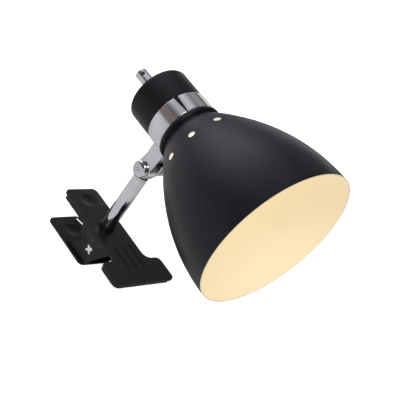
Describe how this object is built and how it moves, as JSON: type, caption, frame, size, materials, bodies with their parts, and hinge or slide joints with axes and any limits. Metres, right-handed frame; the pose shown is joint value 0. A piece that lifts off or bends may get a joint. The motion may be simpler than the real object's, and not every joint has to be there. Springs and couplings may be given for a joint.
{
  "type": "clip-on reading lamp",
  "caption": "Clip-on reading lamp: sprung T-jaw clip, swivelling chrome arm, friction tilt joint, chrome-banded black bell shade with vents and cream inside.",
  "frame": {"origin": "midway between the closed jaws, near the middle of the jaw pads, where the lamp grips a shelf edge", "axes": "+Z along the arm, away from the front lever's top face; +X towards the jaws' free ends and the shade's mouth; +Y along the jaw wings and the tilt axis"},
  "size_m": [0.1825, 0.13, 0.2123],
  "materials": {
    "clip_plastic": "satin moulded",
    "pad_rubber": "translucent soft",
    "zinc_steel": "zinc plated",
    "spring_steel": "bright drawn wire",
    "chrome": "polished",
    "nylon": "natural nylon",
    "black_paint": "satin black outside, warm cream inside",
    "black_plastic": "satin",
    "holder_plastic": "moulded white",
    "brass": "stamped",
    "brass_nickel": "nickel plated",
    "dark_steel": "blackened",
    "bulb_white": "smooth white",
    "bulb_glass": "opal"
  },
  "bodies": {
    "clip": {"front_lever": "clip_plastic", "front_jaw_pad": "pad_rubber", "pivot_pin": "zinc_steel", "pivot_sleeve": "clip_plastic", "clip_spring": "spring_steel", "base_socket": "clip_plastic"},
    "rear_jaw": {"rear_lever": "clip_plastic", "rear_jaw_pad": "pad_rubber", "spring_moving_leg": "spring_steel"},
    "arm": {"arm_tube": "chrome", "arm_stud": "zinc_steel", "swivel_washer": "zinc_steel", "swivel_nut": "zinc_steel", "arm_knuckle": "chrome", "tilt_washers": "nylon"},
    "head": {"tilt_bolt": "chrome", "tilt_knob": "chrome", "shade": "black_paint", "shade_collar": "black_plastic", "head_band": "chrome", "head_cup": "black_plastic", "head_bracket": "chrome", "bracket_screw": "zinc_steel", "bracket_nut": "zinc_steel", "shade_ring": "holder_plastic", "lampholder_body": "holder_plastic", "terminal_screws": "brass", "screw_shell": "brass", "centre_contact": "brass", "threaded_nipple": "zinc_steel", "nipple_nut": "zinc_steel", "cord_grip": "chrome", "grip_screw": "dark_steel", "bulb_cap": "brass_nickel", "bulb_housing": "bulb_white", "bulb_globe": "bulb_glass"}
  },
  "joints": [
    {"name": "jaw_open", "type": "hinge", "parent": "clip", "child": "rear_jaw", "pos_m": [-0.041, 0, -0.0122], "axis": [0, 1, 0], "range_deg": [0, 24], "stiffness_Nm_per_rad": 0.6, "springref_deg": -28.65},
    {"name": "arm_swivel", "type": "hinge", "parent": "clip", "child": "arm", "pos_m": [-0.052, 0, 0.0026], "axis": [0, 0, 1], "range_deg": [-170, 170]},
    {"name": "head_tilt", "type": "hinge", "parent": "arm", "child": "head", "pos_m": [-0.052, 0, 0.0666], "axis": [0, 1, 0], "range_deg": [-80, 28]}
  ]
}
